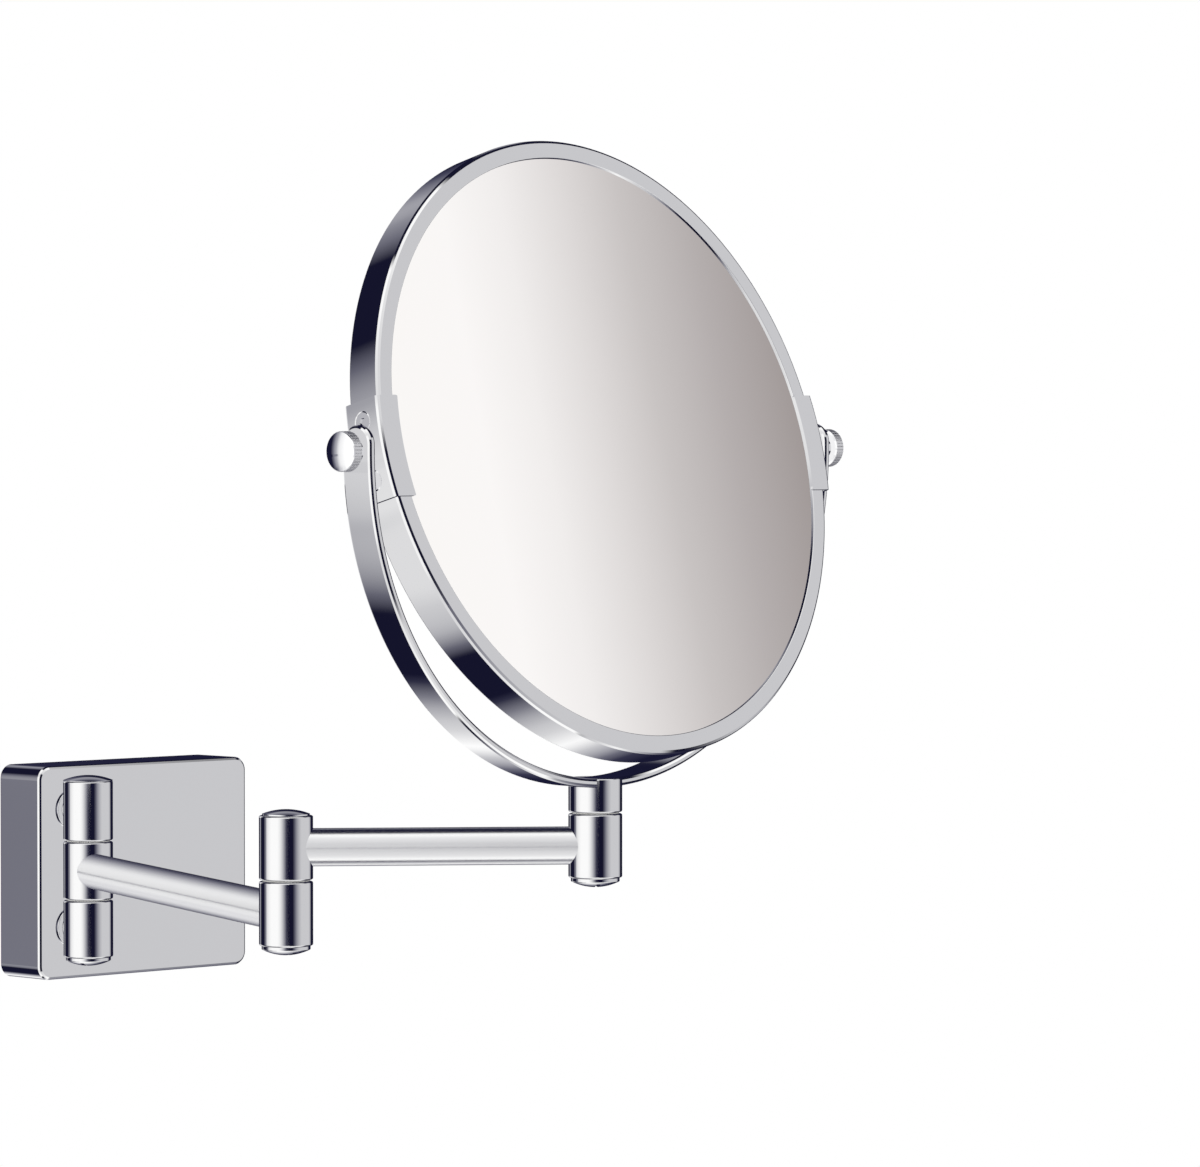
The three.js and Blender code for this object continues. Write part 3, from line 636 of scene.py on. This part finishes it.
cut_away(yoke, *[plain_rod(YOKE_HOLE, way * (YOKE_INNER - YOKE_DRILL_OVER),
                           way * (YOKE_OUTER + YOKE_DRILL_OVER),
                           Matrix.Rotation(math.pi / 2, 4, "Y")) for way in (1, -1)])
place_in_mesh(yoke, yoke_place)
fit_out(yoke, chrome, "yoke", "chrome", "yoke")

low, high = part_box("yoke_holder")
centre = upright_through(low, high)
holder = turned("yoke_holder_block", rounded(
    (0, high.z / MM), (KNUCKLE_RADIUS, high.z / MM, KNUCKLE_EDGE),
    (KNUCKLE_RADIUS, low.z / MM, KNUCKLE_EDGE), (PIVOT_BORE, low.z / MM, BORE_EDGE),
    (PIVOT_BORE, high.z / MM - HOLDER_BORE_END), (0, high.z / MM - HOLDER_BORE_END)), 128, centre)
groove = strip_loop("tool", YOKE_INNER - HOLDER_GROOVE_OVER, YOKE_OUTER + HOLDER_CLEARANCE,
                    YOKE_HALF_WIDTH + HOLDER_CLEARANCE)
bpy.ops.mesh.spin(steps=BEND_STEPS, angle=math.pi, center=(0, 0, 0), axis=(0, -1, 0))
close_ends()
place_in_mesh(groove, yoke_place)
cut_away(holder, groove)
fit_out(holder, chrome, "yoke", "chrome", "yoke_holder")

# ---- Mirror head
# A rolled and chromed brass rim with an inward lip in front and a snapped-in bezel behind. It
# holds flat silvered glass on one side and dished, magnifying glass on the other.

MIRROR_TILT = 15
RIM_RADIUS = 99.6
RIM_FRONT_EDGE = 1.1
HALF_DEPTH = 6.35
OPENING_RADIUS = 93.7
LIP = 1.2
BAND_INNER = 98.4
GLASS_RADIUS = 98.0
GLASS_FRONT = 5.1
GLASS_THICKNESS = 1.8
GLASS_SAG = 6.0
BEZEL_RADIUS = 98.25
ROUND_HEAD = 256
head_place = yoke_place @ Matrix.Rotation(math.radians(90 - MIRROR_TILT), 4, "X")

rim = turned("mirror_ring", rounded(
    (OPENING_RADIUS, HALF_DEPTH - LIP, 0.1), (OPENING_RADIUS, HALF_DEPTH, 0.2),
    (RIM_RADIUS, HALF_DEPTH, -RIM_FRONT_EDGE), (RIM_RADIUS, -HALF_DEPTH, 0.5),
    (BAND_INNER, -HALF_DEPTH, 0.1), (BAND_INNER, HALF_DEPTH - LIP),
    (OPENING_RADIUS, HALF_DEPTH - LIP, 0.1)), ROUND_HEAD, head_place)
fit_out(rim, chrome, "mirror", "chrome", "mirror_rim")
bezel = turned("mirror_bezel", rounded(
    (OPENING_RADIUS, LIP - HALF_DEPTH, 0.1), (BEZEL_RADIUS, LIP - HALF_DEPTH, 0.1),
    (BEZEL_RADIUS, -HALF_DEPTH, 0.25), (OPENING_RADIUS, -HALF_DEPTH, 0.3),
    (OPENING_RADIUS, LIP - HALF_DEPTH, 0.1)), ROUND_HEAD, head_place)
fit_out(bezel, chrome, "mirror", "chrome", "mirror_back_bezel")


def silvered_with_painted_reflection(name, painted_tones):
    """Silvered glass, slightly warm, with a painted reflection: its base colour deepens across the
    sheet along the given tones.
    """
    material, tree, shader, place = new_finish(name)
    parts = add_node(tree, "ShaderNodeSeparateXYZ", values={"Vector": place})
    across = parts - head_place.translation.x
    share = across * (0.5 / (GLASS_RADIUS * MM)) + 0.5
    film = grain(tree, place, 30, detail=3)
    specks = grain(tree, place, 700, detail=3)
    # Painted reflection: the base colour runs through the tones from the left of the sheet to the
    # right.
    colour = add_node(tree, "ShaderNodeValToRGB", values={"Fac": share + 0.01 * (film - 0.5)},
                      stops=painted_tones)
    bump = bumps(tree, film, 0.04, 0.000003)
    connect(shader, {
        "Base Color": colour, "Metallic": 1.0, "Normal": bump,
        "Roughness": 0.012 + 0.01 * specks})
    return material


def level(grey):
    """The linear value of an eight-bit screen tone."""
    share = grey / 255
    return share / 12.92 if share <= 0.04045 else ((share + 0.055) / 1.055) ** 2.4


# Painted reflection on the flat sheet: its base-colour tones from left to right, white deepening to
# warm grey, and what the studio gives it to reflect.
FRONT_PAINTED_REFLECTION = [(0.0, (250, 247, 246)), (0.22, (250, 247, 247)), (0.36, (240, 237, 237)),
               (0.50, (222, 218, 218)), (0.64, (200, 195, 195)), (0.80, (180, 174, 174)),
               (1.0, (158, 150, 149))]
SHEET_LIGHT = (0.952, 0.952, 0.997)
# The flat glass gets the painted reflection, white at the left and warm grey at the right.
front_silver_painted_reflection = silvered_with_painted_reflection("front_silvering_painted_reflection", [
    (place, tuple(min(1.0, level(c) / light) for c, light in zip(tone, SHEET_LIGHT)))
    for place, tone in FRONT_PAINTED_REFLECTION])
# The magnifying glass gets a milder painted reflection: its base colour darkens a little from left to
# right.
back_silver_painted_reflection = silvered_with_painted_reflection("back_silvering_painted_reflection", [(0.0, (0.82, 0.81, 0.80)), (1.0, (0.76, 0.75, 0.745))])

plain = turned("plain_mirror", rounded(
    (0, GLASS_FRONT), (GLASS_RADIUS, GLASS_FRONT, 0.2),
    (GLASS_RADIUS, GLASS_FRONT - GLASS_THICKNESS, 0.2), (0, GLASS_FRONT - GLASS_THICKNESS)),
    ROUND_HEAD, head_place)
fit_out(plain, front_silver_painted_reflection, "mirror", "mirror_glass", "plain_glass")

DISH_STEPS = 32
dish = []
for k in range(DISH_STEPS + 1):
    out = GLASS_RADIUS * k / DISH_STEPS
    dish.append((out, -GLASS_FRONT + GLASS_SAG * (1 - (out / GLASS_RADIUS) ** 2)))
magnifier = turned("magnifying_mirror", [
    *dish, *[(out, z + GLASS_THICKNESS) for out, z in reversed(dish)]], 192, head_place)
fit_out(magnifier, back_silver_painted_reflection, "mirror", "mirror_glass", "magnifying_glass")


def black_plastic(name):
    """Injection-moulded ring between the two glasses, with a fine matt grain."""
    material, tree, shader, place = new_finish(name)
    skin = grain(tree, place, 1800, detail=4)
    bump = bumps(tree, skin, 0.4, 0.00003)
    tone = mixed(tree, skin, (0.012, 0.012, 0.014, 1), (0.03, 0.03, 0.034, 1))
    connect(shader, {"Base Color": tone, "Normal": bump, "Roughness": 0.5 + 0.2 * skin})
    return material


coat(frame["nodes"]["glass_spacer"], black_plastic("black_plastic"))

# ---- Clips, clip screws and pivot bosses
# A chromed strip curls round the rim at each pivot, gripping it front and back. Two countersunk
# socket screws hold each clip, and a short boss carries the pivot.

CLIP_INNER = 99.75
CLIP_OUTER = 101.25
CLIP_LIP_END = 92.7
CLIP_HALF_INSIDE = 6.5
CLIP_HALF_OUTSIDE = 7.4
CLIP_HALF_LENGTH = 15.8
CLIP_SWEEP = math.radians(12)
CLIP_EDGE = 1.1
CLIP_CORNER = 1.1
CLIP_SCREW_ANGLE = 18 / 199.2
CLIP_HEAD_RADIUS = 3.25
CLIP_HEAD_HEIGHT = 1.3
CLIP_HEAD_EDGE = 0.3
CLIP_SHANK_RADIUS = 1.5
CLIP_SCREW_LENGTH = 5.4
CLIP_SOCKET = 2.4
CLIP_SOCKET_DEPTH = 0.9
CLIP_SCREW_SUNK = 0.05
CLIP_GAP = 0.15
TOOL_OVER = 2.0
BOSS_RADIUS = 3.5
BOSS_FOOT = 101.3
BOSS_TOP = 102.4
BOSS_STEM = 3.0
BOSS_BORE = 2.3
BOSS_DEPTH = 5.0
BOSS_BORE_DEPTH = 5.3
PIVOT_WASHER_RADIUS = 4.0
PIVOT_WASHER_FOOT = 102.45
PIVOT_WASHER_TOP = 103.15
bright_screws = polished_chrome("bright_screws", base=(0.58, 0.58, 0.585), roughness=0.06)


def outwards(angle):
    """In the mirror head's frame, turns +Z to point outwards at an angle from the pivot."""
    return head_place @ Matrix.Rotation(angle, 4, "Z") @ Matrix.Rotation(math.pi / 2, 4, "Y")


for side, facing in (("left", math.pi), ("right", 0.0)):
    section = rounded(
        (CLIP_LIP_END, CLIP_HALF_INSIDE), (CLIP_LIP_END, CLIP_HALF_OUTSIDE),
        (CLIP_OUTER, CLIP_HALF_OUTSIDE, -CLIP_EDGE), (CLIP_OUTER, -CLIP_HALF_OUTSIDE, -CLIP_EDGE),
        (CLIP_LIP_END, -CLIP_HALF_OUTSIDE), (CLIP_LIP_END, -CLIP_HALF_INSIDE),
        (CLIP_INNER, -CLIP_HALF_INSIDE), (CLIP_INNER, CLIP_HALF_INSIDE),
        (CLIP_LIP_END, CLIP_HALF_INSIDE))
    clip = drawn(f"clip_band_{side}", section)
    bpy.ops.mesh.select_all(action="SELECT")
    bpy.ops.mesh.remove_doubles(threshold=1e-6)
    bpy.ops.mesh.select_all(action="SELECT")
    bpy.ops.mesh.spin(steps=40, angle=2 * CLIP_SWEEP, center=(0, 0, 0), axis=(0, 0, 1))
    close_ends()
    swept = sum((vertex.co for vertex in clip.data.vertices), Vector((0, 0, 0)))
    place_in_mesh(clip, Matrix.Rotation(-math.atan2(swept.y, swept.x), 4, "Z"))
    for way in (1, -1):
        choose(clip, "FACE", lambda f: True)
        bpy.ops.mesh.bisect(plane_co=(0, way * CLIP_HALF_LENGTH * MM, 0), plane_no=(0, way, 0),
                            clear_outer=True, use_fill=True)
        bpy.ops.object.mode_set(mode="OBJECT")
    choose(clip, "EDGE", lambda e: abs(e.verts[0].co.z - e.verts[1].co.z) > 0.0005
           and middle(e).xy.length < (CLIP_LIP_END + 2) * MM
           and abs(middle(e).y) > (CLIP_HALF_LENGTH - 0.05) * MM)
    bpy.ops.mesh.bevel(offset=CLIP_CORNER * MM, segments=6, affect="EDGES")
    bpy.ops.object.mode_set(mode="OBJECT")
    place_in_mesh(clip, head_place @ Matrix.Rotation(facing, 4, "Z"))
    turns = (("upper", facing - CLIP_SCREW_ANGLE if side == "left" else facing + CLIP_SCREW_ANGLE),
             ("lower", facing + CLIP_SCREW_ANGLE if side == "left" else facing - CLIP_SCREW_ANGLE))
    top = CLIP_OUTER - CLIP_SCREW_SUNK
    sinks = [turned("tool", [
        (0, CLIP_INNER - TOOL_OVER), (CLIP_SHANK_RADIUS + CLIP_GAP, CLIP_INNER - TOOL_OVER),
        (CLIP_SHANK_RADIUS + CLIP_GAP, top - CLIP_HEAD_HEIGHT), (CLIP_HEAD_RADIUS + CLIP_GAP, top),
        (CLIP_HEAD_RADIUS + CLIP_GAP, top + TOOL_OVER), (0, top + TOOL_OVER)], 64, outwards(angle))
        for _, angle in turns]
    sinks.append(plain_rod(BOSS_STEM + CLIP_GAP, CLIP_INNER - TOOL_OVER, CLIP_OUTER + TOOL_OVER,
                           outwards(facing), 64))
    cut_away(clip, *sinks)
    fit_out(clip, chrome, "mirror", "chrome", f"clip_{side}")
    for which, angle in turns:
        bolt = turned(f"clip_bolt_{side}_{which}", [
            (0, top - CLIP_SCREW_LENGTH), (CLIP_SHANK_RADIUS - 0.2, top - CLIP_SCREW_LENGTH),
            (CLIP_SHANK_RADIUS, top - CLIP_SCREW_LENGTH + 0.2),
            (CLIP_SHANK_RADIUS, top - CLIP_HEAD_HEIGHT), (CLIP_HEAD_RADIUS, top - CLIP_HEAD_EDGE),
            (CLIP_HEAD_RADIUS - CLIP_HEAD_EDGE, top), (0, top)], 64, outwards(angle))
        cut_away(bolt, hex_socket(CLIP_SOCKET, top - CLIP_SOCKET_DEPTH, top + 1, outwards(angle)))
        fit_out(bolt, bright_screws, "mirror", "screw_steel", f"clip_screw_{side}_{which}")
    boss = turned(f"pivot_stub_{side}", rounded(
        (0, BOSS_FOOT - BOSS_DEPTH), (BOSS_STEM, BOSS_FOOT - BOSS_DEPTH), (BOSS_STEM, BOSS_FOOT),
        (BOSS_RADIUS, BOSS_FOOT, 0.15), (BOSS_RADIUS, BOSS_TOP, 0.2), (BOSS_BORE, BOSS_TOP, 0.1),
        (BOSS_BORE, BOSS_TOP - BOSS_BORE_DEPTH), (0, BOSS_TOP - BOSS_BORE_DEPTH),
        (0, BOSS_FOOT - BOSS_DEPTH)), 64, outwards(facing))
    fit_out(boss, chrome, "mirror", "chrome", f"pivot_boss_{side}")
    ring = turned(f"pivot_ring_{side}", rounded(
        (BOSS_BORE, PIVOT_WASHER_FOOT, NYLON_BORE_EDGE),
        (PIVOT_WASHER_RADIUS, PIVOT_WASHER_FOOT, 0.15),
        (PIVOT_WASHER_RADIUS, PIVOT_WASHER_TOP, 0.15),
        (BOSS_BORE, PIVOT_WASHER_TOP, NYLON_BORE_EDGE),
        (BOSS_BORE, PIVOT_WASHER_FOOT, NYLON_BORE_EDGE)), 64, outwards(facing))
    fit_out(ring, nylon, "mirror", "nylon", f"pivot_washer_{side}")

# ---- Thumb knobs
# Small chromed knobs with a fine straight knurl round the side and a smooth, bulging face. A
# steel stud runs from each knob through the yoke into the boss.

KNOB_RADIUS = 6.15
KNURL_DEPTH = 0.08
KNURL_TEETH = 36
KNURL_STEPS = 8
KNURL_PITCH = 2 * math.pi / KNURL_TEETH
KNURL_GROOVE = (0.45, 0.55)
KNURL_INSET = 0.35
KNOB_COLLAR = 3.7
COLLAR_FOOT = 106.25
GRIP_FOOT = 109.05
GRIP_TOP = 112.75
KNOB_DOME = 0.8
STUD_RADIUS = 2.0
STUD_START = 97.4
STUD_END = 110.7
knob_chrome = polished_chrome("knob_chrome", base=(0.70, 0.70, 0.70))
knurled_chrome = polished_chrome("knurled_chrome", base=(0.62, 0.62, 0.625), roughness=0.42)


def in_groove(edge):
    """Whether an edge stands along the grip at the bottom of one of the knurl's grooves."""
    spot = middle(edge)
    upright = abs(edge.verts[0].co.z - edge.verts[1].co.z) > 0.001
    phase = (math.atan2(spot.y, spot.x) % KNURL_PITCH) / KNURL_PITCH
    return upright and KNURL_GROOVE[0] < phase < KNURL_GROOVE[1]


for side, turn in (("left", -1), ("right", 1)):
    place = yoke_place @ Matrix.Rotation(turn * math.pi / 2, 4, "Y")
    bpy.ops.object.select_all(action="DESELECT")
    bpy.ops.mesh.primitive_cylinder_add(
        vertices=KNURL_STEPS * KNURL_TEETH, radius=KNOB_RADIUS * MM,
        depth=(GRIP_TOP - GRIP_FOOT - 2 * KNURL_INSET) * MM,
        location=(0, 0, (GRIP_TOP + GRIP_FOOT) / 2 * MM))
    grip = bpy.context.object
    grip.name = f"thumb_knob_{side}"
    bpy.ops.object.transform_apply(location=True, rotation=True, scale=True)
    choose(grip, "EDGE", in_groove)
    inward = (KNOB_RADIUS - KNURL_DEPTH) / KNOB_RADIUS
    bpy.ops.transform.resize(value=(inward, inward, 1), center_override=(0, 0, 0))
    bpy.ops.object.mode_set(mode="OBJECT")
    core_radius = KNOB_RADIUS - KNURL_DEPTH - 0.05
    core = turned("core", [
        (0, COLLAR_FOOT), (KNOB_COLLAR - 0.2, COLLAR_FOOT), (KNOB_COLLAR, COLLAR_FOOT + 0.2),
        (KNOB_COLLAR, GRIP_FOOT), (core_radius - 0.5, GRIP_FOOT),
        (core_radius, GRIP_FOOT + KNURL_INSET), (core_radius, GRIP_TOP - KNURL_INSET),
        (core_radius - 0.12, GRIP_TOP - 0.05),
        *domed(core_radius - 0.12, GRIP_TOP - 0.05, KNOB_DOME, 1)], 96)
    coat(grip, knurled_chrome)
    coat(core, knob_chrome)
    take(grip)
    core.select_set(True)
    bpy.ops.object.join()
    place_in_mesh(grip, place)
    smooth(grip)
    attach(grip, f"knob_{side}")
    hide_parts(f"knob_{side}")
    stud = turned(f"knob_pin_{side}", rounded(
        (0, STUD_START), (STUD_RADIUS, STUD_START, 0.3), (STUD_RADIUS, STUD_END, 0.2),
        (0, STUD_END)), 48, place)
    fit_out(stud, steel, f"knob_{side}", "screw_steel", f"knob_stud_{side}")

# ---- Room, light and camera
# A pale floor well below the mirror, one large soft lamp, and a white studio whose broad bright
# and dark screens give polished metal something to reflect.

FLOOR_SIZE = 2.4
FLOOR_PLACE = (0, -0.15, -0.45)
LAMP_PLACE = (-0.9, -1.6, 1.8)
LAMP_AIM = (0, -0.15, 0.1)
LAMP_SIZE = 1.6
LAMP_WATTS = 14
bpy.ops.object.select_all(action="DESELECT")
bpy.ops.mesh.primitive_plane_add(size=FLOOR_SIZE, location=FLOOR_PLACE)
floor = bpy.context.object
floor.name = "floor"
floor.visible_glossy = False
ground, ground_tree, ground_shader, ground_place = new_finish("pale_floor")
speckle = grain(ground_tree, ground_place, 120, detail=4)
connect(ground_shader, {
    "Roughness": 0.75 + 0.1 * speckle,
    "Base Color": mixed(ground_tree, speckle, (0.84, 0.84, 0.84, 1), (0.88, 0.88, 0.88, 1))})
floor.data.materials.append(ground)
floor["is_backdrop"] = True

bpy.ops.object.light_add(type="AREA", location=LAMP_PLACE)
lamp = bpy.context.object
lamp.name = "soft_lamp"
lamp.data.size = LAMP_SIZE
lamp.data.energy = LAMP_WATTS
lamp.visible_glossy = False
lamp.rotation_euler = (Vector(LAMP_AIM) - lamp.location).to_track_quat("-Z", "Y").to_euler()

# Angles and heights at which the screens hang: one thin level band all round, slanting screens
# above and below it, one sheet overhead, and one low down behind.
CHROME_SHARE = 0.60
NAVY = (0.012, 0.012, 0.040)
BAND_HEIGHT = -0.076
BAND_EDGE = (0.018, 0.022)
OVERHEAD_EDGE = (0.40, 0.50)
LOW_EDGE = (0.26, 0.36)
BACK_EDGE = (0.47, 0.51)
BACK_BEARING = math.radians(56)
CIRCLE = (-180, 180)
ACROSS = (-1, 1)
SLANT_ACROSS = (-1.2222, 1.0)


def seen_in_chrome(grey):
    """How bright a screen must be for polished chrome to show this screen tone, which is cooler
    the darker it is."""
    cool = 27 * (1 - grey / 255) ** 1.4
    return tuple(level(tone) / CHROME_SHARE for tone in (grey, grey, grey + cool))


def screens_along(stops, start, end):
    """Ramp stops over a range of angles or shares; a number is a tone and None a dark screen."""
    return [((place - start) / (end - start), NAVY if tone is None else seen_in_chrome(tone))
            for place, tone in stops]


world = bpy.data.worlds.new("studio")
bpy.context.scene.world = world
world.use_nodes = True
sky = world.node_tree
sky.nodes.clear()
direction = add_node(sky, "ShaderNodeTexCoord", out="Generated")
east, north, up = [add_node(sky, "ShaderNodeSeparateXYZ", values={"Vector": direction}, out=k)
                   for k in range(3)]
bearing = north.math("ARCTAN2", north, east) * (0.5 / math.pi) + 0.5
height = up.math("ABSOLUTE", up)
off_level = up.math("ABSOLUTE", up - BAND_HEIGHT)
facing_back = (east * math.cos(BACK_BEARING) + north * math.sin(BACK_BEARING)) * 0.5 + 0.5
below = (east + up * 0.55) * 0.45 + 0.55


def step_up(value, start, end):
    """0 below start, 1 above end and an even slope between them."""
    return add_node(sky, "ShaderNodeMapRange", {"interpolation_type": "SMOOTHSTEP"}, {
        "Value": value, "From Min": start, "From Max": end})


def ramp(value, stops):
    return add_node(sky, "ShaderNodeValToRGB", values={"Fac": value}, stops=stops)


level_screens = ramp(bearing, screens_along([
    (-180, 251), (-168, 251), (-158.6, 238), (-149.3, 205), (-140, 149), (-131, 61), (-122, None),
    (-102, None), (-93.4, 91), (-83.5, 147), (-73, 180), (-62, 199), (-20, 199), (-8, 170),
    (0, None), (80, None), (84, 150), (91, 150), (95, None), (122, None), (126, 105),
    (134.6, 130), (136.6, 199), (139.2, 219), (150, 240), (162, 251), (180, 251)], *CIRCLE))
slanting_screens = ramp(bearing, screens_along([
    (-180, 251), (-168, 251), (-150, 240), (-132, 213), (-119, 207), (-116, None), (-95, None),
    (-90, 105), (-84, 147), (-73, 180), (-62, 199), (-20, 199), (-8, 170), (0, None),
    (50, None), (55, 60), (63, 125), (78, 205), (85, 241), (91, 241), (97, None), (120, None),
    (125, 96), (130, 148), (132.5, 160), (134.5, 185), (136.5, 203), (139.3, 222), (150, 240),
    (162, 251), (180, 251)], *CIRCLE))
overhead = ramp(facing_back, screens_along([
    (-1, 207), (-0.68, 218), (-0.48, 229), (-0.26, 252), (-0.06, 252), (0.02, None), (0.68, None),
    (0.76, 105), (0.84, 140), (1, 140)], *ACROSS))
low_back = ramp(below, screens_along([
    (-1.1, 221), (-0.93, 220), (-0.90, 202), (-0.86, 190), (-0.835, 176), (-0.78, 100),
    (-0.74, None), (-0.50, None), (-0.46, 45), (-0.37, 120), (-0.295, 165), (-0.20, 195),
    (-0.12, 207), (-0.04, 228), (0.03, 244), (0.07, 232), (0.15, 190), (0.22, 158), (0.30, 100),
    (0.38, 48), (0.50, None), (1.0, None)], *SLANT_ACROSS))
studio = mixed(sky, step_up(off_level, *BAND_EDGE), level_screens, slanting_screens)
studio = mixed(sky, step_up(height, *OVERHEAD_EDGE), studio, overhead)
behind_below = step_up(0 - up, *LOW_EDGE) * step_up(facing_back, *BACK_EDGE)
studio = mixed(sky, behind_below, studio, low_back)
screens = add_node(sky, "ShaderNodeBackground", values={"Color": studio, "Strength": 1.0})
backdrop = add_node(sky, "ShaderNodeBackground", values={"Color": (1, 1, 1, 1), "Strength": 1.0})
seen = add_node(sky, "ShaderNodeLightPath", out="Is Camera Ray")
both = add_node(sky, "ShaderNodeMixShader", values={0: seen, 1: screens, 2: backdrop})
connect(sky.nodes.new("ShaderNodeOutputWorld"), {"Surface": both})

CAMERA_PLACE = (-1.39566, -1.67261, 0.16018)
CAMERA_BEARING = math.radians(44.403)
CAMERA_PITCH = math.radians(1.633)
bpy.ops.object.camera_add(location=CAMERA_PLACE)
camera = bpy.context.object
camera.name = "camera"
camera.data.lens = 186.25
camera.data.sensor_width = 36
camera.data.sensor_fit = "HORIZONTAL"
heading = Vector((math.sin(CAMERA_BEARING) * math.cos(CAMERA_PITCH),
                  math.cos(CAMERA_BEARING) * math.cos(CAMERA_PITCH), -math.sin(CAMERA_PITCH)))
camera.rotation_euler = heading.to_track_quat("-Z", "Y").to_euler()
bpy.context.scene.camera = camera
bpy.context.scene.view_settings.view_transform = "Standard"

low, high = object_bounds()
